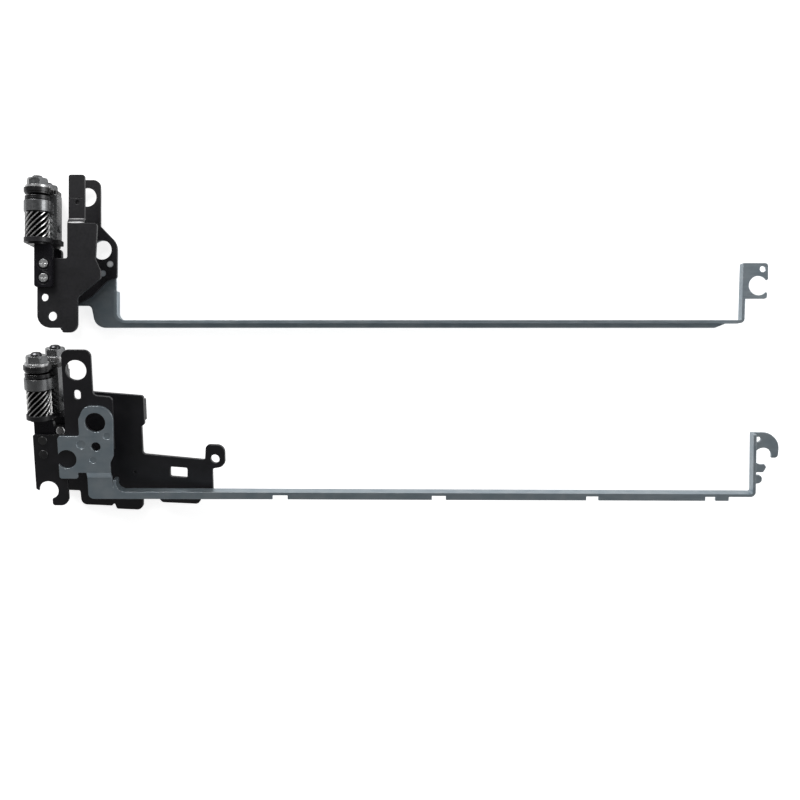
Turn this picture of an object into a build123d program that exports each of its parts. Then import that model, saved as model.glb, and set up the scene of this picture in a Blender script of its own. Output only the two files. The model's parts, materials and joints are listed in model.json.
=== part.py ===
"""Pair of 360 degree hinges for a folding laptop, one right and one left, both folded shut.

Each hinge has two parallel shafts held by a link. Helical teeth on both shafts mesh with one
small cross gear, so the shafts always turn by the same angle. Millimetres, +Z up.
Each hinge is drawn in its own frame: x runs along the bar, y along the shafts towards the nuts,
and z across the stack. The stack is measured from a shaft axis towards the other bracket.
"""
import math
import os
from build123d import *

# Gears
NORMAL_MODULE = 0.33
HELIX_ANGLE = 45.0
SHAFT_TEETH = 12
CROSS_TEETH = 9
TIP_HALF_WIDTH = 0.13
CROSS_TIP_HALF_WIDTH = 0.13
CROSS_ROOT_HALF_WIDTH = 0.33
SHAFT_DEDENDUM = 1.6
CROSS_DEDENDUM = 1.3
GEAR_LENGTH = 6.4
CROSS_LENGTH = 2.2
TRANSVERSE_MODULE = NORMAL_MODULE / math.cos(math.radians(HELIX_ANGLE))
SHAFT_PITCH_R = TRANSVERSE_MODULE * SHAFT_TEETH / 2
CROSS_PITCH_R = TRANSVERSE_MODULE * CROSS_TEETH / 2
AXIS_SPACING = 2 * (SHAFT_PITCH_R + CROSS_PITCH_R)
GEAR_TIP_R = SHAFT_PITCH_R + NORMAL_MODULE

# Barrel, measured along the shaft from the bracket face of the inner plate
RUNNING_GAP = 0.03
PLATE_R = 3.4
PLATE_REACH = 4.4
INNER_REACH = 5.0
INNER_PLATE = 1.2
COLLAR = 0.3
LUG = 2.8
SPRING_COUNT = 3
SPRING_STEP = 0.75
END_PLATE = 1.1
WASHER = 0.6
NUT = 1.9
TIP = 0.7
GEAR_END = INNER_PLATE + GEAR_LENGTH
LUG_START = GEAR_END + COLLAR
LUG_END = LUG_START + LUG
END_PLATE_START = LUG_END + SPRING_COUNT * SPRING_STEP
WASHER_START = END_PLATE_START + END_PLATE
NUT_START = WASHER_START + WASHER
NUT_END = NUT_START + NUT
CROSS_Y = INNER_PLATE + GEAR_LENGTH / 2
JOURNAL_R = 2.45
COLLAR_R = 2.7
LUG_JOURNAL_R = 2.0
STEM_R = 1.6
STEM_FLAT = 1.25
THREAD_R = 1.375
DISC_R = 3.15
WASHER_R = 3.05
NUT_ACROSS_FLATS = 4.8
NUT_GAP = 0.01

# Cross gear pin and the wall of the housing that carries it
PIN_R = 0.8
PIN_HEAD_R = 1.3
PIN_HEAD = 0.5
WALL_IN = 2.2
WALL_OUT = PLATE_REACH
WALL_MARGIN = 2.4
BOSS_R = 1.5

# Shaft tangs, sheets and rivets
TANG = 1.6
TANG_LENGTH = 11.5
SHEET = 1.0
BAR_SHEET = 0.8
SHEET_LOW = TANG / 2
SHEET_HIGH = SHEET_LOW + SHEET
BAR_HIGH = SHEET_HIGH + BAR_SHEET
RIVET_END = 2.4
RIVET_SPACING = 3.7
RIVET_Y = (RIVET_END + RIVET_SPACING - TANG_LENGTH, RIVET_END - TANG_LENGTH)
BASE_RIVET_X = 1.8
DISPLAY_RIVET_X = 0.1
RIVET_R = 0.75
RIVET_HEAD_R = 1.2
RIVET_HEAD = 0.45
RIVET_DOME = 0.35
RIVET_END_R = 1.1
RIVET_END_HEIGHT = 0.2
STAKE_WIDTH = 0.18
STAKE_DEPTH = 0.12
SINK_R = 1.8
SINK_FLOOR_R = 1.5
SINK_DEPTH = 0.2

# Where each tang starts and ends across its sheet, and how far the sheet sits from its shaft axis
RIGHT_BASE = {"tang": (-0.6, 4.0), "seat": 0.0}
RIGHT_DISPLAY = {"tang": (-2.0, 3.5), "seat": 0.5}
LEFT_BASE = {"tang": (-0.6, 4.0), "seat": -0.87}
LEFT_DISPLAY = {"tang": (-2.2, 2.8), "seat": 0.7}

# Strip of the right base bracket
STRIP_STEP = 1.2
STRIP_STEP_Y = (5.4, 6.5)
STRIP_X = (7.45, 11.6)
STRIP_TOP_Y = 18.0
SCORE_Y = 12.0
SCORE_WIDTH = 0.2
SCORE_DEPTH = 0.1

# Holes and blind marks of the base brackets, as (x, y, radius)
BASE_SCREW = (3.6, -18.9, 1.2)
BASE_PILOT = (1.6, -14.0, 1.0)
LEFT_EAR_HOLE = (43.3, -11.5, 1.2)
RIGHT_MARK = (9.7, 10.8, 0.6)
LEFT_MARK = (21.6, -16.0, 0.5)
MARK_DEPTH = 0.4

# Window of the left base bracket
WINDOW_PLACE = (33.4, -15.6)
WINDOW_SIZE = (4.7, 2.8)
WINDOW_CORNER = 0.5
WINDOW_TURN = -2.0

# Bent lip of the left base bracket
LIP_HEIGHT = 2.4

# Holes and notches of the display side, as (x, y, radius)
WIDE_HOLE = (13.8, -0.4, 2.6)
RIGHT_LOBE_HOLE = (9.8, 13.7, 2.55)
LEFT_LOBE_HOLE = (9.5, 13.1, 2.65)
LEFT_LID_HOLE = (13.7, -6.8, 1.2)
FOOT_NOTCH = (0.8, -18.9, 2.5)
PLATE_NOTCH = (6.1, -10.2, 2.5)

# Bars: the left one steps down from its plate, the right one is flat
RIGHT_BAR_STEP = 0.0
LEFT_BAR_STEP = 0.9
BAR_STEP_Y = (-13.8, -15.4)
WEB_HEIGHT = 3.2
WEB_TOP_Y = -19.3
FLANGE_Y = -21.2
BOSS_DEPTH = 0.3

# Far ends of the bars, with x measured from the end of the bar
BAR_END_X = 185.8
RIGHT_RISER = (-0.4, 0.1, -4.1)
LEFT_RISER = (0.9, -0.4, -3.0)
RIGHT_HOOK_HOLE = (4.5, -5.7, 0.83)
RIGHT_HOOK_NOTCH = (3.35, -10.1, 2.6)
LEFT_HOOK_HOLE = (0.95, -4.9, 0.77)
LEFT_HOOK_NOTCH = (2.6, -9.5, 2.35)

# Places of the two hinges on the table
RIGHT_PLACE = (-94.1, 40.6)
LEFT_PLACE = (-92.5, -4.7)
LEFT_TILT = 14.0
LEFT_ROLL = 2.0
LEFT_TURN = -0.85

# Half the angle by which each hinge is shut past parallel, and the lean of its link
RIGHT_LEAN = 0.0
RIGHT_LINK_LEAN = 2.92
LEFT_LEAN = 3.5
LEFT_LINK_LEAN = 12.8


def outline(corners):
    """Closed flat face through corners given as (x, y) or (x, y, corner radius)."""
    count = len(corners)
    starts = []
    mids = []
    ends = []
    for i, corner in enumerate(corners):
        here = Vector(corner[0], corner[1])
        radius = corner[2] if len(corner) > 2 else 0
        back = Vector(*corners[i - 1][:2]) - here
        ahead = Vector(*corners[(i + 1) % count][:2]) - here
        back = back.normalized()
        ahead = ahead.normalized()
        half = math.radians(back.get_angle(ahead)) / 2
        if radius:
            reach = radius / math.tan(half)
            middle = (back + ahead).normalized()
            starts.append(here + back * reach)
            mids.append(here + middle * (radius / math.sin(half) - radius))
            ends.append(here + ahead * reach)
        else:
            starts.append(here)
            mids.append(None)
            ends.append(here)
    edges = []
    for i in range(count):
        if mids[i] is not None:
            edges.append(Edge.make_three_point_arc(starts[i], mids[i], ends[i]))
        following = (i + 1) % count
        if (starts[following] - ends[i]).length > 1e-6:
            edges.append(Edge.make_line(ends[i], starts[following]))
    return Face(Wire(edges))


def sheet(face, side, low, high):
    """Flat sheet between two stack heights on the given side of the axis."""
    bottom = min(side * low, side * high)
    return extrude(Pos(0, 0, bottom) * face, abs(high - low), dir=(0, 0, 1))


def drill(x, y, radius):
    """Round cutter through every sheet of a hinge."""
    return Pos(x, y, 0) * Cylinder(radius, 60)


def spot(hole):
    """Flat disc at a hole given as (x, y, radius)."""
    return Pos(hole[0], hole[1]) * Circle(hole[2])


def slot(x, y, length, width, angle=0):
    """Round-ended cutter through every sheet of a hinge."""
    return Pos(x, y, 0) * Rot(0, 0, angle) * extrude(SlotOverall(length, width), 30, both=True)


def stepped(side, path, thickness, x_range):
    """Sheet that follows a path of (y, stack height of its inner face) along the shafts."""
    inner = [(y, side * height) for y, height in path]
    outer = [(y, side * (height + thickness)) for y, height in reversed(path)]
    face = Plane.YZ * make_face(Polyline(*inner, *outer, close=True))
    return Pos(x_range[0], 0, 0) * extrude(face, x_range[1] - x_range[0], dir=(1, 0, 0))


def rod(radius, start, end):
    """Cylinder along the shaft."""
    return Pos(0, (start + end) / 2, 0) * Rot(-90, 0, 0) * Cylinder(radius, end - start)


def double_d(radius, flat, start, end):
    """Cylinder along the shaft with two flats."""
    return rod(radius, start, end) & Pos(0, (start + end) / 2, 0) * Box(4 * radius, end - start, 2 * flat)


def shaft_gear(middle_angle):
    """Helical teeth along z from 0, with a tooth at the given angle halfway along."""
    tip = GEAR_TIP_R
    root = SHAFT_PITCH_R - SHAFT_DEDENDUM * NORMAL_MODULE
    pitch = 360 / SHAFT_TEETH
    twist = math.degrees(GEAR_LENGTH / SHAFT_PITCH_R * math.tan(math.radians(HELIX_ANGLE)))
    half_tip = math.degrees(math.asin(TIP_HALF_WIDTH / tip))
    start = middle_angle - twist / 2
    points = []
    for i in range(SHAFT_TEETH):
        angle = start + i * pitch
        points.append(polar(tip, angle - half_tip))
        points.append(polar(tip, angle + half_tip))
        points.append(polar(root, angle + pitch / 2))
    section = make_face(Polyline(*points, close=True)).face()
    return Solid.extrude_linear_with_rotation(section, (0, 0, 0), (0, 0, GEAR_LENGTH), twist)


def cross_gear(middle_angle):
    """Teeth of the cross gear along z from 0, with a tooth at the given angle halfway along."""
    tip = CROSS_PITCH_R + NORMAL_MODULE
    root = CROSS_PITCH_R - CROSS_DEDENDUM * NORMAL_MODULE
    pitch = 360 / CROSS_TEETH
    twist = math.degrees(CROSS_LENGTH / CROSS_PITCH_R * math.tan(math.radians(HELIX_ANGLE)))
    half_tip = math.degrees(math.asin(CROSS_TIP_HALF_WIDTH / tip))
    half_root = math.degrees(math.asin(CROSS_ROOT_HALF_WIDTH / root))
    start = middle_angle - twist / 2
    points = []
    for i in range(CROSS_TEETH):
        angle = start + i * pitch
        points.append(polar(root, angle - half_root))
        points.append(polar(tip, angle - half_tip))
        points.append(polar(tip, angle + half_tip))
        points.append(polar(root, angle + half_root))
    section = make_face(Polyline(*points, close=True)).face()
    return Solid.extrude_linear_with_rotation(section, (0, 0, 0), (0, 0, CROSS_LENGTH), twist)


def polar(radius, degrees):
    """Point at a radius and an angle."""
    return (radius * math.cos(math.radians(degrees)), radius * math.sin(math.radians(degrees)))


def make_tang(side, left, right, rivet_x):
    """Flat end of a shaft under its sheet, with rivet holes sunk on the free face."""
    plan = outline([
        (left, -0.3, 0.4),
        (left, -TANG_LENGTH, 0.8),
        (right, -TANG_LENGTH, 0.8),
        (right, -0.3, 1.2),
    ])
    tang = extrude(Pos(0, 0, -TANG / 2) * plan, TANG, dir=(0, 0, 1))
    radii = (SINK_R, SINK_FLOOR_R) if side > 0 else (SINK_FLOOR_R, SINK_R)
    for y in RIVET_Y:
        tang -= Pos(rivet_x, y, -side * (SHEET_LOW - SINK_DEPTH / 2)) * Cone(*radii, SINK_DEPTH)
    return tang - drill_rivets(rivet_x)


def make_shaft(toward, tooth_shift, teeth_turn, tang):
    """Shaft in its own frame. The other shaft lies on the toward side of z."""
    middle_angle = -90 * toward + tooth_shift
    gear = Pos(0, INNER_PLATE, 0) * Rot(-90, 0, 0) * shaft_gear(middle_angle)
    body = Rot(0, teeth_turn, 0) * gear + rod(JOURNAL_R, -0.5, INNER_PLATE)
    body += rod(COLLAR_R, GEAR_END, LUG_START)
    body += rod(LUG_JOURNAL_R, LUG_START, LUG_END)
    body += double_d(STEM_R, STEM_FLAT, LUG_END, NUT_START)
    body += rod(THREAD_R, NUT_START, NUT_END + TIP)
    body += tang
    tip_edge = body.edges().filter_by(GeomType.CIRCLE).sort_by(Axis.Y)[-1]
    return chamfer(tip_edge, 0.35)


def link_outline(side, gap, reach):
    """Face of the plates that join both shafts, seen along the shaft, with two shaft holes."""
    far = side * AXIS_SPACING
    ring = Pos(0, 0) * Circle(PLATE_R)
    waist = Pos(0, far / 2) * Rectangle(2 * PLATE_R, AXIS_SPACING)
    shoulder_height = AXIS_SPACING - 2 * WALL_MARGIN
    shoulder = outline([
        (0, far / 2 - shoulder_height / 2),
        (reach, far / 2 - shoulder_height / 2, 0.6),
        (reach, far / 2 + shoulder_height / 2, 0.6),
        (0, far / 2 + shoulder_height / 2),
    ])
    face = ring + Pos(0, far) * Circle(PLATE_R) + waist + shoulder
    return face - Circle(gap) - Pos(0, far) * Circle(gap)


def across(face, start, end):
    """Extrude a face drawn in x and z along the shaft."""
    turned = Pos(0, start, 0) * Rot(90, 0, 0) * face
    return extrude(turned, end - start, dir=(0, 1, 0))


def make_inner_plate(side):
    return across(link_outline(side, JOURNAL_R + RUNNING_GAP, INNER_REACH), 0, INNER_PLATE)


def make_end_plate(side):
    return across(link_outline(side, STEM_R + RUNNING_GAP, PLATE_REACH), END_PLATE_START, WASHER_START)


def make_housing(side):
    """Lug with two shaft holes and the side wall that carries the cross gear pin."""
    middle = side * AXIS_SPACING / 2
    lug = across(link_outline(side, LUG_JOURNAL_R + RUNNING_GAP, PLATE_REACH), LUG_START, LUG_END)
    wall_height = AXIS_SPACING - 2 * WALL_MARGIN
    wall_length = END_PLATE_START - INNER_PLATE
    wall = Pos((WALL_IN + WALL_OUT) / 2, INNER_PLATE + wall_length / 2, middle) * Box(
        WALL_OUT - WALL_IN, wall_length, wall_height)
    boss_length = WALL_IN - CROSS_LENGTH / 2 - RUNNING_GAP
    boss = Pos(WALL_IN - boss_length / 2, CROSS_Y, middle) * Rot(0, 90, 0) * Cylinder(BOSS_R, boss_length)
    hole = Pos(0, CROSS_Y, middle) * Rot(0, 90, 0) * Cylinder(PIN_R, 30)
    return lug + wall + boss - hole


def make_cross_gear(side):
    angle = 0 if side > 0 else 180
    gear = Pos(-CROSS_LENGTH / 2, 0, 0) * Rot(0, 90, 0) * cross_gear(angle)
    bore = Rot(0, 90, 0) * Cylinder(PIN_R + RUNNING_GAP, 30)
    return Pos(0, CROSS_Y, side * AXIS_SPACING / 2) * (gear - bore)


def make_pin(side):
    """Pin of the cross gear: a head on one end, spread over the housing wall on the other."""
    head_end = -CROSS_LENGTH / 2 - RUNNING_GAP
    spread = 0.3
    shank = Pos((head_end + WALL_OUT) / 2, 0, 0) * Rot(0, 90, 0) * Cylinder(PIN_R, WALL_OUT - head_end)
    head = Pos(head_end - PIN_HEAD / 2, 0, 0) * Rot(0, 90, 0) * Cylinder(PIN_HEAD_R, PIN_HEAD)
    tail = Pos(WALL_OUT + spread / 2, 0, 0) * Rot(0, 90, 0) * Cylinder(PIN_R + 0.3, spread)
    return Pos(0, CROSS_Y, side * AXIS_SPACING / 2) * (shank + head + tail)


def make_springs():
    """Disc springs in a stack, cupped in turn."""
    thick = SPRING_STEP * 0.62
    rise = SPRING_STEP - thick
    discs = []
    for i in range(SPRING_COUNT):
        low = LUG_END + i * SPRING_STEP
        inner_rise = rise if i % 2 else 0
        outer_rise = rise - inner_rise
        bore = STEM_R + RUNNING_GAP
        ring = make_face(Polyline(
            (bore, low + inner_rise),
            (DISC_R, low + outer_rise),
            (DISC_R, low + outer_rise + thick),
            (bore, low + inner_rise + thick),
            close=True))
        discs.append(revolve(ring, Axis.Y))
    return Compound(discs)


def make_washer():
    ring = rod(WASHER_R, WASHER_START, NUT_START)
    return ring - double_d(STEM_R, STEM_FLAT, WASHER_START - 1, NUT_START + 1)


def make_nut():
    hexagon = RegularPolygon(NUT_ACROSS_FLATS / 2, 6, major_radius=False) - Circle(THREAD_R + NUT_GAP)
    corner = NUT_ACROSS_FLATS / math.sqrt(3)
    body = across(hexagon, NUT_START, NUT_END)
    dome = Pos(0, NUT_END - 2, 0) * Rot(-90, 0, 0) * Cone(corner + 1.9, corner - 0.3, 4)
    return body & dome


def make_rivets(side, x):
    """Two rivets through tang and sheet: a domed head on the sheet, an end staked in a star on the tang."""
    stem = sheet(Circle(RIVET_R), side, -SHEET_LOW, SHEET_HIGH)
    head = sheet(Circle(RIVET_HEAD_R), side, SHEET_HIGH, SHEET_HIGH + RIVET_HEAD)
    rim = head.edges().sort_by(Axis.Z)[-1 if side > 0 else 0]
    head = fillet(rim, RIVET_DOME)
    end_face = -SHEET_LOW - RIVET_END_HEIGHT
    end = sheet(Circle(RIVET_END_R), side, end_face, SINK_DEPTH - SHEET_LOW)
    rivet = stem + head + end
    for angle in (0, 60, 120):
        groove = Rot(0, 0, angle) * Rectangle(2 * RIVET_R, STAKE_WIDTH)
        rivet -= sheet(groove, side, end_face, end_face + STAKE_DEPTH)
    return Compound([Pos(x, y, 0) * rivet for y in RIVET_Y])


def drill_rivets(x):
    """Cutters for the two rivets."""
    return [drill(x, y, RIVET_R) for y in RIVET_Y]


def right_base_bracket():
    side = -1
    plate = outline([
        (-0.3, -3.9, 0.6),
        (STRIP_X[0], -3.9, 0.5),
        (STRIP_X[0], STRIP_TOP_Y, 0.6),
        (STRIP_X[1], STRIP_TOP_Y, 0.6),
        (STRIP_X[1], 5.2, 0.3),
        (15.2, 5.2, 0.8),
        (14.7, -4.2, 0.6),
        (16.0, -7.0, 0.8),
        (16.1, -9.0, 0.8),
        (10.1, -14.0, 1.0),
        (10.1, -23.1, 2.2),
        (6.2, -23.1, 0.3),
        (6.2, -21.9, 0.2),
        (-0.3, -21.9, 3.3),
    ])
    path = [
        (-40, SHEET_LOW),
        (STRIP_STEP_Y[0], SHEET_LOW),
        (STRIP_STEP_Y[1], SHEET_LOW + STRIP_STEP),
        (40, SHEET_LOW + STRIP_STEP),
    ]
    body = stepped(side, path, SHEET, (-5, 20)) & sheet(plate, side, -10, 10)
    strip_face = SHEET_LOW + STRIP_STEP
    body -= sheet(spot(RIGHT_MARK), side, strip_face, strip_face + MARK_DEPTH)
    score = Pos(sum(STRIP_X) / 2, SCORE_Y) * Rectangle(STRIP_X[1] - STRIP_X[0] - 1.0, SCORE_WIDTH)
    body -= sheet(score, side, strip_face, strip_face + SCORE_DEPTH)
    body -= [drill(*BASE_PILOT), drill(*BASE_SCREW)]
    return body - drill_rivets(BASE_RIVET_X)


def left_base_bracket():
    side = 1
    plate = outline([
        (-0.3, -3.9, 0.6),
        (8.2, -3.9, 0.8),
        (8.2, 5.6, 0.8),
        (24.6, 4.9, 0.8),
        (24.6, -2.8, 0.5),
        (23.8, -3.4, 0.5),
        (23.8, -11.0, 0.8),
        (40.6, -11.9, 0.6),
        (40.9, -7.7, 1.2),
        (45.9, -7.7, 2.0),
        (45.9, -13.5, 2.0),
        (42.5, -14.2, 0.8),
        (42.5, -22.6, 0.6),
        (39.2, -22.6, 0.3),
        (38.6, -24.2, 1.2),
        (28.6, -24.2, 1.2),
        (27.4, -22.6, 0.6),
        (23.4, -22.4, 0.6),
        (23.2, -26.6, 1.6),
        (16.1, -26.6, 0.5),
        (15.5, -24.9, 0.3),
        (14.8, -25.8, 0.5),
        (6.4, -25.8, 1.6),
        (6.2, -21.9, 0.4),
        (-0.3, -21.9, 3.3),
    ])
    lip = Pos(24.2, 0.9, SHEET_HIGH - LIP_HEIGHT / 2) * Box(0.8, 5.6, LIP_HEIGHT)
    bend = lip.edges().filter_by(Axis.Y).group_by(Axis.Z)[-1].sort_by(Axis.X)[-1]
    lip = fillet(bend, 0.7)
    body = sheet(plate, side, SHEET_LOW, SHEET_HIGH) + lip
    window = RectangleRounded(*WINDOW_SIZE, WINDOW_CORNER)
    body -= Pos(*WINDOW_PLACE, 0) * Rot(0, 0, WINDOW_TURN) * extrude(window, 30, both=True)
    body -= sheet(spot(LEFT_MARK), side, SHEET_HIGH - MARK_DEPTH, SHEET_HIGH)
    body -= [drill(*BASE_PILOT), drill(*LEFT_EAR_HOLE)]
    return body - drill_rivets(BASE_RIVET_X)


def display_bracket(side, edge, foot, hole, extra):
    """Sheet on the display shaft: long strip with a notched foot, and a lobe beside the barrel."""
    plate = outline([
        (-2.4, -3.9, 0.5),
        (6.0, -3.9, 0.6),
        (6.0, 18.3, 1.7),
        (13.4, 18.3, 1.8),
        *edge,
        (15.4, -8.6, 0.6),
        (11.3, -12.7, 1.0),
        (7.9, -14.7, 0.8),
        (5.8, -16.0, 0.8),
        *foot,
    ])
    body = sheet(plate, side, SHEET_LOW, SHEET_HIGH)
    body -= [drill(*hole), drill(*WIDE_HOLE), drill(*FOOT_NOTCH)]
    body -= drill_rivets(DISPLAY_RIVET_X)
    return body - extra


def bar_levels(step):
    """Stack heights of a bar: low and high face of its flange, and the free edge of its web."""
    flange_high = BAR_HIGH - step
    return flange_high - BAR_SHEET, flange_high, flange_high - WEB_HEIGHT


def display_bar(side, step, plan, riser, bosses, flanges, hook, extra):
    """Outer plate with the long angle bar and the hook on its far end."""
    flange_low, flange_high, web_low = bar_levels(step)
    top_plate = outline([
        (9.6, 0.5, 1.0),
        (11.2, 3.9, 2.6),
        *plan["edge"],
        (plan["edge"][-1][0], BAR_STEP_Y[0]),
        *plan["arm"],
        (4.0, plan["arm"][-1][1], 0.6),
        (4.0, -4.1, 0.8),
        (9.6, -4.1, 0.8),
    ])
    top = sheet(top_plate, side, SHEET_HIGH, BAR_HIGH)
    low_plate = outline([
        *plan["neck"],
        (22.0, FLANGE_Y),
        (22.0, WEB_TOP_Y),
        (17.4, WEB_TOP_Y, 2.0),
        (plan["edge"][-1][0], BAR_STEP_Y[0]),
    ])
    path = [
        (BAR_STEP_Y[0], SHEET_HIGH),
        (BAR_STEP_Y[1], flange_low),
        (-30, flange_low),
    ]
    low = stepped(side, path, BAR_SHEET, (0, 30)) & sheet(low_plate, side, -10, 10)
    web_low_y = WEB_TOP_Y - BAR_SHEET
    riser_low, riser_high, riser_top = riser
    web_plan = outline([
        (18.2, plan["web_start"]),
        (18.2, WEB_TOP_Y, 2.0),
        (BAR_END_X + riser_low - BAR_SHEET, WEB_TOP_Y, 0.5),
        (BAR_END_X + riser_high - BAR_SHEET, riser_top),
        (BAR_END_X + riser_high, riser_top),
        (BAR_END_X + riser_low, web_low_y, 1.3),
        (17.4, web_low_y, 2.8),
        (17.4, plan["web_start"]),
    ])
    web = sheet(web_plan, side, web_low, flange_high)
    body = top + low + web
    for start, end, slant in flanges:
        strip = outline([
            (start, WEB_TOP_Y - 0.4),
            (start, FLANGE_Y),
            (end - slant, FLANGE_Y),
            (end, web_low_y),
            (end, WEB_TOP_Y - 0.4),
        ])
        body += sheet(strip, side, flange_low, flange_high)
    body += sheet(Pos(BAR_END_X, 0) * hook, side, web_low, web_low + BAR_SHEET)
    body -= [drill(*WIDE_HOLE), drill(*PLATE_NOTCH)]
    body -= extra
    for x, y, radius in bosses:
        body += Pos(x, y, 0) * sheet(Circle(radius), side, SHEET_LOW + 0.1, SHEET_HIGH)
        body -= Pos(x, y, 0) * sheet(Circle(radius), side, BAR_HIGH - BOSS_DEPTH, BAR_HIGH)
    return body


def right_hook():
    """Flat hook open to the side, drawn from the end of the bar."""
    x, y, _ = RIGHT_HOOK_NOTCH
    plate = outline([
        (-0.6, RIGHT_RISER[2]),
        (5.9, RIGHT_RISER[2], 0.8),
        (5.9, -8.4, 0.3),
        (x, y),
        (5.6, -12.1, 0.5),
        (5.6, -13.6, 0.7),
        (-0.6, -13.6),
    ])
    return plate - spot(RIGHT_HOOK_NOTCH) - spot(RIGHT_HOOK_HOLE)


def left_hook():
    """Beaked hook over two fingers, drawn from the end of the bar."""
    x, y, _ = LEFT_HOOK_NOTCH
    plate = outline([
        (-0.8, LEFT_RISER[2]),
        (6.7, LEFT_RISER[2], 4.6),
        (6.7, -9.9, 0.9),
        (4.6, -9.9, 0.5),
        (x + 2.0, y),
        (x, y - 1.5),
        (3.9, -12.4, 0.7),
        (3.2, -13.95, 0.7),
        (1.3, -13.95, 0.2),
        (1.3, -14.8, 0.2),
        (3.0, -14.8, 1.0),
        (3.0, -16.9, 1.0),
        (0.2, -17.4),
    ])
    return plate - spot(LEFT_HOOK_NOTCH) - spot(LEFT_HOOK_HOLE)


RIGHT_BOSSES = [(16.0, -4.2, 0.9), (9.6, -6.6, 1.1), (14.1, -6.7, 0.85)]
LEFT_BOSSES = [(16.6, -4.0, 0.95), (9.9, -6.3, 1.15), (12.8, -10.4, 0.9)]
RIGHT_DISPLAY_EDGE = [
    (13.4, 5.9, 0.4),
    (17.9, 1.3, 4.0),
    (17.8, -7.9, 0.6),
]
LEFT_DISPLAY_EDGE = [
    (13.4, 6.5, 1.2),
    (18.3, 6.1, 1.2),
    (18.2, -8.0, 0.6),
]
RIGHT_FOOT = [
    (5.8, -22.0, 1.2),
    (3.0, -22.0, 0.4),
    (2.0, -20.0),
    (-0.5, -18.0),
    (-0.5, -12.4, 0.4),
    (-2.4, -12.0, 0.4),
]
LEFT_FOOT = [
    (5.8, -23.0, 2.0),
    (1.6, -23.0, 0.7),
    (1.6, -21.0),
    (-1.0, -19.5),
    (-2.4, -18.4, 0.2),
]
RIGHT_PLAN = {
    "edge": [(16.9, 3.9, 3.4), (17.4, -9.4)],
    "arm": [(9.2, BAR_STEP_Y[0]), (9.2, -15.3)],
    "neck": [
        (9.0, BAR_STEP_Y[0]),
        (9.0, -15.3),
        (10.7, -15.3, 1.2),
        (11.9, FLANGE_Y, 3.2),
    ],
    "web_start": -11.6,
}
LEFT_PLAN = {
    "edge": [(18.5, 3.9, 3.6), (18.0, -9.4, 0.6), (17.1, -11.2, 0.6)],
    "arm": [(8.7, BAR_STEP_Y[0], 0.3), (8.7, -15.4, 0.5)],
    "neck": [(10.9, BAR_STEP_Y[0]), (10.9, FLANGE_Y, 1.4)],
    "web_start": -16.2,
}
RIGHT_FLANGES = [(19.0, 181.0, 2.8)]
LEFT_FLANGES = [(19.0, 58.7, 0), (62.6, 100.5, 0), (104.2, 141.4, 0), (144.7, 173.2, 0), (176.0, 179.5, 0)]


def boss_holes(bosses):
    return [drill(x, y, radius) for x, y, radius in bosses]


def build_hinge(side, lean, link_lean, base_fit, display_fit, table):
    """All pieces of one hinge around the display shaft axis, with its sheets seated on their shafts."""
    link = Rot(0, -side * link_lean, 0)
    base = link * Pos(0, 0, -side * AXIS_SPACING) * Rot(0, side * (link_lean - 2 * lean), 0)
    cross_turn = -SHAFT_TEETH / CROSS_TEETH * -lean
    cross = link * Pos(0, CROSS_Y, -side * AXIS_SPACING / 2) * Rot(cross_turn, 0, 0)
    cross = cross * Pos(0, -CROSS_Y, side * AXIS_SPACING / 2)
    display = Pos(0, 0, 0)
    base_seat = Pos(base_fit["seat"], 0, 0)
    display_seat = Pos(display_fit["seat"], 0, 0)
    half_pitch = 180 / SHAFT_TEETH
    teeth_turn = side * (lean - link_lean)
    pieces = {}
    tang = base_seat * make_tang(side, *base_fit["tang"], BASE_RIVET_X)
    pieces["base_shaft"] = base * make_shaft(side, half_pitch, teeth_turn, tang)
    pieces["base_bracket"] = base * base_seat * table["base_bracket"]
    pieces["base_rivets"] = base * base_seat * make_rivets(side, BASE_RIVET_X)
    tang = display_seat * make_tang(side, *display_fit["tang"], DISPLAY_RIVET_X)
    pieces["display_shaft"] = display * make_shaft(-side, 0, teeth_turn, tang)
    pieces["display_bracket"] = display * display_seat * table["display_bracket"]
    pieces["display_rivets"] = display * display_seat * make_rivets(side, DISPLAY_RIVET_X)
    pieces["display_bar"] = display * display_seat * table["display_bar"]
    to_link = link * Pos(0, 0, -side * AXIS_SPACING)
    pieces["inner_plate"] = to_link * make_inner_plate(side)
    pieces["end_plate"] = to_link * make_end_plate(side)
    pieces["gear_housing"] = to_link * make_housing(side)
    pieces["cross_pin"] = to_link * make_pin(side)
    pieces["cross_gear"] = cross * Pos(0, 0, -side * AXIS_SPACING) * make_cross_gear(side)
    for name, place in (("base", base), ("display", display)):
        pieces[name + "_springs"] = place * make_springs()
        pieces[name + "_washer"] = place * make_washer()
        pieces[name + "_nut"] = place * make_nut()
    return pieces


right_cuts = boss_holes(RIGHT_BOSSES)
right_table = {
    "base_bracket": right_base_bracket(),
    "display_bracket": display_bracket(-1, RIGHT_DISPLAY_EDGE, RIGHT_FOOT, RIGHT_LOBE_HOLE, right_cuts),
    "display_bar": display_bar(
        -1, RIGHT_BAR_STEP, RIGHT_PLAN, RIGHT_RISER, RIGHT_BOSSES, RIGHT_FLANGES, right_hook(), []),
}
left_lid_hole = drill(*LEFT_LID_HOLE)
left_cuts = [*boss_holes(LEFT_BOSSES), slot(9.5, 6.7, 2.6, 1.8, 90), left_lid_hole]
left_table = {
    "base_bracket": left_base_bracket(),
    "display_bracket": display_bracket(1, LEFT_DISPLAY_EDGE, LEFT_FOOT, LEFT_LOBE_HOLE, left_cuts),
    "display_bar": display_bar(
        1, LEFT_BAR_STEP, LEFT_PLAN, LEFT_RISER, LEFT_BOSSES, LEFT_FLANGES, left_hook(), [left_lid_hole]),
}
right = build_hinge(-1, RIGHT_LEAN, RIGHT_LINK_LEAN, RIGHT_BASE, RIGHT_DISPLAY, right_table)
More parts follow.
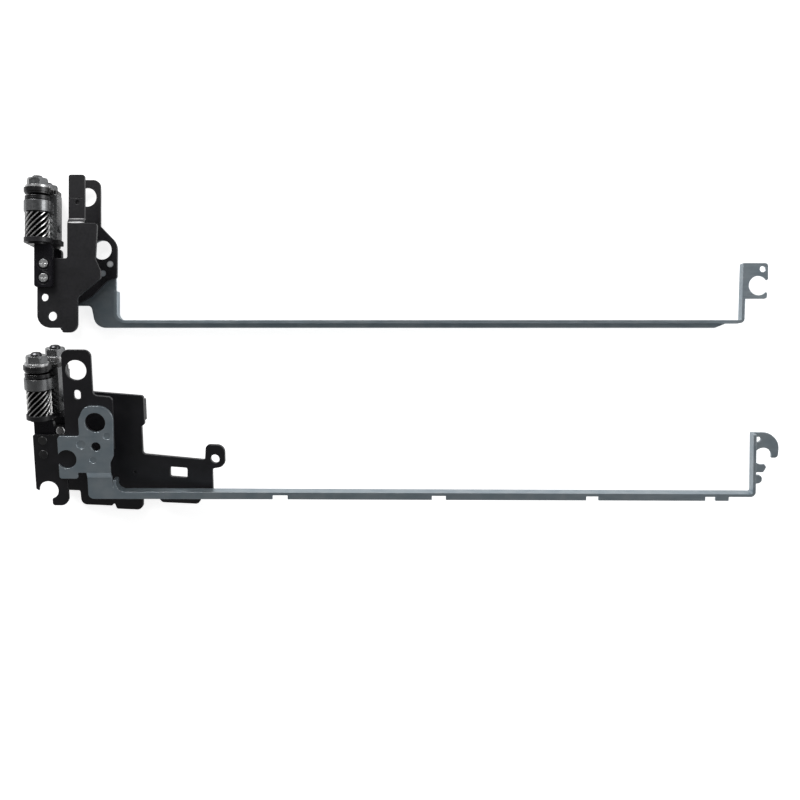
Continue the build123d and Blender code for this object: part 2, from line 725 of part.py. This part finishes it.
left = build_hinge(1, LEFT_LEAN, LEFT_LINK_LEAN, LEFT_BASE, LEFT_DISPLAY, left_table)

left_pose = Rot(0, 0, LEFT_TURN) * Rot(LEFT_TILT, 0, 0) * Rot(0, LEFT_ROLL, 0)
right_low = Compound(list(right.values())).bounding_box().min.Z
left_low = Compound([left_pose * piece for piece in left.values()]).bounding_box().min.Z
right_frame = Pos(RIGHT_PLACE[0], RIGHT_PLACE[1], -right_low)
left_frame = Pos(LEFT_PLACE[0], LEFT_PLACE[1], -left_low) * left_pose

nodes = {}
for name, piece in right.items():
    nodes["right_" + name] = right_frame * piece
for name, piece in left.items():
    nodes["left_" + name] = left_frame * piece
box = Compound(list(nodes.values())).bounding_box()
centring = Pos(-box.center().X, -box.center().Y, -box.min.Z)

os.makedirs("parts", exist_ok=True)
for name, piece in nodes.items():
    export_step(centring * piece, "parts/" + name + ".step")
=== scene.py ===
import bpy
import json
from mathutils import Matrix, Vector

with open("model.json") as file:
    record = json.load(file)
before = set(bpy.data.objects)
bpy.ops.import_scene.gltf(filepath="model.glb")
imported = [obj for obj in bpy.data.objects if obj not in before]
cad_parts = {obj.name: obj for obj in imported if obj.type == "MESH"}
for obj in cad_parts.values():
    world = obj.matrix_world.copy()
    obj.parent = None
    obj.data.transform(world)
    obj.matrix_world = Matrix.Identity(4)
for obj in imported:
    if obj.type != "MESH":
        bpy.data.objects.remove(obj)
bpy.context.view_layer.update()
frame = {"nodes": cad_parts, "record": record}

MM = 0.001
WHITE = (1, 1, 1, 1)
MIX_FACTOR_INPUT = 0
MIX_COLOUR_INPUTS = (6, 7)
MIX_COLOUR_OUTPUT = 2
JOINTS = {joint["name"]: joint for joint in frame["record"]["behaviour"]["joints"]}

# Camera, straight over the table, placed from the gear of the right display shaft
CAMERA_FROM_GEAR = (94.1 * MM, -45.0 * MM)
CAMERA_HEIGHT = 300 * MM
CLIP_START = 10 * MM
LENS_MM = 50
SENSOR_MM = 36

# Lamps, in metres and watts
KEY = {"place": (-0.25, 0.40, 0.26), "size": 0.28, "power": 2.2}
FILL = {"place": (0.60, 0.05, 0.25), "size": 0.40, "power": 1.5}

# Sky: brightness overhead, towards the nuts and the bars, and its share on the outer and the hook side
CEILING = 0.17
NUT_SIDE = 0.95
BAR_SIDE = 0.04
OUTER_SIDE = 0.25
HOOK_SIDE = 1.1
SIDE_REACH = 0.8
ACROSS_REACH = 0.5
SKY_LOW = 0.30
SKY_HIGH = 0.90

# Table
FLOOR_SIZE = 4.0
FLOOR_DROP = 0.02 * MM
FLOOR_COLOUR = (0.70, 0.70, 0.70, 1)
FLOOR_ROUGHNESS = 0.9
FLOOR_SPECULAR = 0.1
FLOOR_GLOW = 0.78
FLOOR_REFLECTED = 0.30

# Worked metal
EDGE_RADIUS = 0.12 * MM
EDGE_SAMPLES = 6
EDGE_TURN = (0.80, 0.99)
CLOUD_SCALE = 260
CLOUD_RANGE = (0.35, 0.65)
GRAIN_RANGE = (0.3, 0.7)
RELIEF = 0.02 * MM
NOISE_DETAIL = 4
EVEN = (1, 1, 1)
ALONG_BAR = (0.06, 1, 1)
BLACK_TINT = (0.008, 0.0075, 0.010)
# each finish lists its colour, its tint and a lighter edge colour; the edge colour is wear and painted
# highlight
FINISHES = {
    "black_steel": {
        "colours": ((0.004, 0.004, 0.0055), BLACK_TINT, (0.16, 0.16, 0.17)),
        "metallic": 0.0, "roughness": (0.34, 0.52), "stretch": EVEN, "grain": 2600, "bump": 0.25,
    },
    "zinc_steel": {
        "colours": ((0.34, 0.41, 0.46), (0.42, 0.48, 0.52), (0.70, 0.72, 0.73)),
        "metallic": 0.9, "roughness": (0.30, 0.46), "stretch": ALONG_BAR, "grain": 3200, "bump": 0.20,
    },
    "dark_steel": {
        "colours": ((0.035, 0.035, 0.037), (0.07, 0.07, 0.07), (0.45, 0.45, 0.45)),
        "metallic": 0.9, "roughness": (0.20, 0.34), "stretch": EVEN, "grain": 2200, "bump": 0.12,
    },
    "grey_steel": {
        "colours": ((0.17, 0.175, 0.18), (0.24, 0.245, 0.25), (0.48, 0.48, 0.48)),
        "metallic": 0.9, "roughness": (0.20, 0.36), "stretch": EVEN, "grain": 1800, "bump": 0.25,
    },
    "bright_steel": {
        "colours": ((0.56, 0.57, 0.58), (0.66, 0.66, 0.66), (0.85, 0.85, 0.85)),
        "metallic": 0.9, "roughness": (0.22, 0.36), "stretch": EVEN, "grain": 1600, "bump": 0.15,
    },
    "rivet_steel": {
        "colours": ((0.03, 0.03, 0.032), (0.05, 0.05, 0.05), (0.6, 0.6, 0.6)),
        "metallic": 0.6, "roughness": (0.16, 0.28), "stretch": EVEN, "grain": 1600, "bump": 0.15,
    },
}

# Shafts, with lengths measured from the middle of the gear towards the nut
TANG_START = -4.6 * MM
THREAD_START = 11.0 * MM
FADE = 0.5 * MM
GROOVE_R = 2.75 * MM
TOOTH_TIP_R = 3.05 * MM
TIP_STEEL = ((0.80, 0.80, 0.80), (0.95, 0.95, 0.94))
# the groove colour is painted shade in the hollows between the teeth
GROOVE_PAINTED_SHADE = (0.04, 0.04, 0.042)
THREAD_STEEL = (0.10, 0.10, 0.105)
SHAFT_EDGE_TINT = (0.4, 0.4, 0.4, 1)
SHAFT_CLOUD_SCALE = 420
SHAFT_GRAIN = 2200
SHAFT_ROUGHNESS = (0.22, 0.34)
SHAFT_BUMP = 0.05

# Painted highlights on the bend lines of the strip and on the boss ends, from the gear of their shaft:
# (x, y, half width, half length, strength) in millimetres
STRIP_BEND_HIGHLIGHTS = [(9.6, 1.0, 2.6, 0.25, 1.0), (9.6, 2.1, 2.6, 0.2, 0.5)]
BOSS_END_HIGHLIGHTS = [(16.5, -8.6, 1.0, 1.0, 0.8), (14.6, -11.1, 1.0, 1.0, 0.35)]
SPOT_CORE = 0.6
# the pale colour of the spots is painted highlight
HIGHLIGHT_PAINT = (0.72, 0.72, 0.73)
HIGHLIGHT_PAINT_METALLIC = 0.1


def give(tree, socket, value):
    """Links a socket to an input, or sets the input to a plain value."""
    if isinstance(value, bpy.types.NodeSocket):
        tree.links.new(value, socket)
    else:
        socket.default_value = value


def add(tree, kind, **inputs):
    """New shader node with some of its inputs set or linked."""
    node = tree.nodes.new(kind)
    for name, value in inputs.items():
        give(tree, node.inputs[name.replace("_", " ")], value)
    return node


def maths(tree, operation, first, second):
    """Math node of two values."""
    node = tree.nodes.new("ShaderNodeMath")
    node.operation = operation
    give(tree, node.inputs[0], first)
    give(tree, node.inputs[1], second)
    return node.outputs[0]


def vector_maths(tree, operation, first, second=(0, 0, 0)):
    """Vector math node of a socket and a second socket or a plain vector."""
    node = tree.nodes.new("ShaderNodeVectorMath")
    node.operation = operation
    give(tree, node.inputs[0], first)
    give(tree, node.inputs[1], second)
    return node.outputs["Value" if operation in ("DOT_PRODUCT", "LENGTH") else "Vector"]


def spread(tree, value, low, high, to_low, to_high):
    """Value carried from one range to another."""
    node = add(tree, "ShaderNodeMapRange", Value=value, From_Min=low, From_Max=high,
               To_Min=to_low, To_Max=to_high)
    return node.outputs["Result"]


def blend_colour(tree, factor, first, second):
    """Mix of two colours, each a tuple or a socket."""
    node = tree.nodes.new("ShaderNodeMix")
    node.data_type = "RGBA"
    give(tree, node.inputs[MIX_FACTOR_INPUT], factor)
    for number, value in zip(MIX_COLOUR_INPUTS, (first, second)):
        linked = isinstance(value, bpy.types.NodeSocket)
        give(tree, node.inputs[number], value if linked else (*value, 1))
    return node.outputs[MIX_COLOUR_OUTPUT]


def object_place(tree):
    """Place on the object, in the shared frame."""
    return add(tree, "ShaderNodeTexCoord").outputs["Object"]


def noise(tree, stretch, scale):
    """Noise in the shared frame, stretched along its axes."""
    mapped = add(tree, "ShaderNodeMapping", Vector=object_place(tree), Scale=stretch)
    texture = add(tree, "ShaderNodeTexNoise", Vector=mapped.outputs["Vector"], Scale=scale,
                  Detail=NOISE_DETAIL)
    return texture.outputs["Fac"]


def edge_mask(tree, rounded):
    """One on sharp edges and nought on flat faces."""
    flat = add(tree, "ShaderNodeNewGeometry").outputs["Normal"]
    turn = vector_maths(tree, "DOT_PRODUCT", rounded, flat)
    return spread(tree, turn, *EDGE_TURN, 1.0, 0.0)


def spot_mask(tree, spots):
    """Soft ovals seen from above, given as (x, y, half width, half length, strength)."""
    place = object_place(tree)
    total = 0.0
    for x, y, half_x, half_y, strength in spots:
        offset = vector_maths(tree, "SUBTRACT", place, (x, y, 0))
        scaled = vector_maths(tree, "MULTIPLY", offset, (1 / half_x, 1 / half_y, 0))
        distance = vector_maths(tree, "LENGTH", scaled)
        highlight_mask = spread(tree, distance, SPOT_CORE, 1.0, strength, 0.0)
        total = maths(tree, "MAXIMUM", highlight_mask, total)
    return total


def new_finish(name):
    """New material, its node tree and its shader."""
    material = bpy.data.materials.new(name)
    material.use_nodes = True
    return material, material.node_tree, material.node_tree.nodes["Principled BSDF"]


def metal(name, colours, metallic, roughness, stretch, grain, bump):
    """Worked metal: cloudy colour, grain along the stretch, worn edges with painted highlight, and
    rounded corners.
    """
    material, tree, shader = new_finish(name)
    colour, tint, edge_wear_and_sheen_colour = colours
    rounded = add(tree, "ShaderNodeBevel", Radius=EDGE_RADIUS)
    rounded.samples = EDGE_SAMPLES
    clouds = noise(tree, EVEN, CLOUD_SCALE)
    lines = noise(tree, stretch, grain)
    cloudy = blend_colour(tree, spread(tree, clouds, *CLOUD_RANGE, 0.0, 1.0), colour, tint)
    # worn edges and painted highlight: the edges turn towards the lighter edge colour
    edge_wear_and_sheen = maths(tree, "MULTIPLY", edge_mask(tree, rounded.outputs["Normal"]), clouds)
    give(tree, shader.inputs["Base Color"], blend_colour(tree, edge_wear_and_sheen, cloudy, edge_wear_and_sheen_colour))
    shader.inputs["Metallic"].default_value = metallic
    give(tree, shader.inputs["Roughness"], spread(tree, lines, *GRAIN_RANGE, *roughness))
    relief = add(tree, "ShaderNodeBump", Strength=bump, Distance=RELIEF, Height=lines,
                 Normal=rounded.outputs["Normal"])
    give(tree, shader.inputs["Normal"], relief.outputs["Normal"])
    return material


def with_painted_highlights(finish, name, joint, spots):
    """Copy of a finish with painted highlights as pale spots, placed from the gear of a shaft."""
    material = finish.copy()
    material.name = name
    tree = material.node_tree
    shader = tree.nodes["Principled BSDF"]
    gear = JOINTS[joint]["pos_m"]
    highlight_mask = spot_mask(tree, [
        (gear[0] + x * MM, gear[1] + y * MM, half_x * MM, half_y * MM, strength)
        for x, y, half_x, half_y, strength in spots
    ])
    coated = shader.inputs["Base Color"].links[0].from_socket
    # painted highlight: the spots turn pale and lose most of their metal look
    give(tree, shader.inputs["Base Color"], blend_colour(tree, highlight_mask, coated, HIGHLIGHT_PAINT))
    metallic = shader.inputs["Metallic"].default_value
    give(tree, shader.inputs["Metallic"], spread(tree, highlight_mask, 0.0, 1.0, metallic, HIGHLIGHT_PAINT_METALLIC))
    return material


def shaft_finish(side, half):
    """Ground steel on the tooth tips of a shaft, painted shade in the grooves between them, a dark
    threaded end and a black tang.
    """
    joint = JOINTS[side + "_" + half + "_hinge"]
    to_nuts = Vector(joint["axis"]) * (1 if side == "right" else -1)
    material, tree, shader = new_finish(side + "_" + half + "_shaft_steel")
    away = vector_maths(tree, "SUBTRACT", object_place(tree), joint["pos_m"])
    along = vector_maths(tree, "DOT_PRODUCT", away, to_nuts)
    radius = vector_maths(tree, "LENGTH", vector_maths(tree, "CROSS_PRODUCT", away, to_nuts))
    tip = spread(tree, radius, GROOVE_R, TOOTH_TIP_R, 0.0, 1.0)
    steel = blend_colour(tree, noise(tree, EVEN, SHAFT_CLOUD_SCALE), *TIP_STEEL)
    # painted shade: the grooves between the teeth are darkened, the tips keep the ground steel
    steel_with_groove_shade = blend_colour(tree, tip, GROOVE_PAINTED_SHADE, steel)
    threaded = spread(tree, along, THREAD_START, THREAD_START + FADE, 0.0, 1.0)
    steel_with_groove_shade = blend_colour(tree, threaded, steel_with_groove_shade, THREAD_STEEL)
    toothed = spread(tree, along, TANG_START, TANG_START + FADE, 0.0, 1.0)
    give(tree, shader.inputs["Base Color"], blend_colour(tree, toothed, BLACK_TINT, steel_with_groove_shade))
    give(tree, shader.inputs["Metallic"], toothed)
    shader.inputs["Specular Tint"].default_value = SHAFT_EDGE_TINT
    lines = noise(tree, EVEN, SHAFT_GRAIN)
    give(tree, shader.inputs["Roughness"], spread(tree, lines, *GRAIN_RANGE, *SHAFT_ROUGHNESS))
    relief = add(tree, "ShaderNodeBump", Strength=SHAFT_BUMP, Distance=RELIEF, Height=lines)
    give(tree, shader.inputs["Normal"], relief.outputs["Normal"])
    return material


def dress_nodes():
    """Gives every node of the frame the finish of its slot, or its own."""
    finish = {name: metal(name, **setting) for name, setting in FINISHES.items()}
    own = {
        # the bend lines of the bracket and the boss ends of the bar get painted highlights
        "right_base_bracket": with_painted_highlights(
            finish["black_steel"], "black_steel_painted_bend_highlights", "right_base_hinge", STRIP_BEND_HIGHLIGHTS),
        "right_display_bar": with_painted_highlights(
            finish["zinc_steel"], "zinc_steel_painted_boss_highlights", "right_display_hinge", BOSS_END_HIGHLIGHTS),
        "right_display_rivets": finish["rivet_steel"],
        "left_display_rivets": finish["rivet_steel"],
    }
    for side in ("right", "left"):
        for half in ("base", "display"):
            own[side + "_" + half + "_shaft"] = shaft_finish(side, half)
    for part in frame["record"]["subparts"]:
        mesh = frame["nodes"][part["node"]].data
        mesh.materials.clear()
        mesh.materials.append(own.get(part["node"], finish[part["material_slot"]]))


def make_floor():
    """Pale table that keeps the shadows."""
    bpy.ops.mesh.primitive_plane_add(size=FLOOR_SIZE, location=(0, 0, -FLOOR_DROP))
    floor = bpy.context.object
    floor.name = "table_top"
    material, tree, shader = new_finish("table_white")
    shader.inputs["Base Color"].default_value = FLOOR_COLOUR
    shader.inputs["Roughness"].default_value = FLOOR_ROUGHNESS
    shader.inputs["Specular IOR Level"].default_value = FLOOR_SPECULAR
    ray = add(tree, "ShaderNodeLightPath")
    seen = maths(tree, "MULTIPLY", ray.outputs["Is Camera Ray"], FLOOR_GLOW)
    reflected = maths(tree, "MULTIPLY", ray.outputs["Is Glossy Ray"], FLOOR_REFLECTED)
    shader.inputs["Emission Color"].default_value = WHITE
    give(tree, shader.inputs["Emission Strength"], maths(tree, "ADD", seen, reflected))
    floor.data.materials.append(material)


def make_world():
    """Soft sky, brightest beyond the nuts and the hooks, darker overhead, and white to the camera."""
    world = bpy.data.worlds.new("studio")
    bpy.context.scene.world = world
    world.use_nodes = True
    tree = world.node_tree
    background = tree.nodes["Background"]
    background.inputs["Color"].default_value = WHITE
    ray = add(tree, "ShaderNodeTexCoord").outputs["Generated"]
    part = add(tree, "ShaderNodeSeparateXYZ", Vector=ray)
    along = spread(tree, part.outputs["Y"], -SIDE_REACH, SIDE_REACH, BAR_SIDE, NUT_SIDE)
    across = spread(tree, part.outputs["X"], -ACROSS_REACH, ACROSS_REACH, OUTER_SIDE, HOOK_SIDE)
    open_sky = spread(tree, part.outputs["Z"], SKY_LOW, SKY_HIGH, 1.0, 0.0)
    sides = maths(tree, "MULTIPLY", maths(tree, "MULTIPLY", along, across), open_sky)
    glow = maths(tree, "ADD", sides, CEILING)
    seen = add(tree, "ShaderNodeLightPath").outputs["Is Camera Ray"]
    give(tree, background.inputs["Strength"], maths(tree, "MAXIMUM", glow, seen))


def make_lamp(name, setting):
    """Soft square lamp that faces the middle of the table."""
    light = bpy.data.lights.new(name, "AREA")
    light.size = setting["size"]
    light.energy = setting["power"]
    lamp = bpy.data.objects.new(name, light)
    lamp.location = setting["place"]
    lamp.rotation_euler = (-Vector(setting["place"])).to_track_quat("-Z", "Y").to_euler()
    bpy.context.collection.objects.link(lamp)


def make_camera():
    """Camera looking straight down, with the nuts at the top of the picture."""
    lens = bpy.data.cameras.new("camera")
    lens.sensor_width = SENSOR_MM
    lens.lens = LENS_MM
    lens.clip_start = CLIP_START
    camera = bpy.data.objects.new("camera", lens)
    gear = JOINTS["right_display_hinge"]["pos_m"]
    camera.location = (gear[0] + CAMERA_FROM_GEAR[0], gear[1] + CAMERA_FROM_GEAR[1], CAMERA_HEIGHT)
    bpy.context.collection.objects.link(camera)
    bpy.context.scene.camera = camera


dress_nodes()
make_floor()
make_world()
make_lamp("key", KEY)
make_lamp("fill", FILL)
make_camera()
bpy.context.scene.view_settings.view_transform = "Standard"
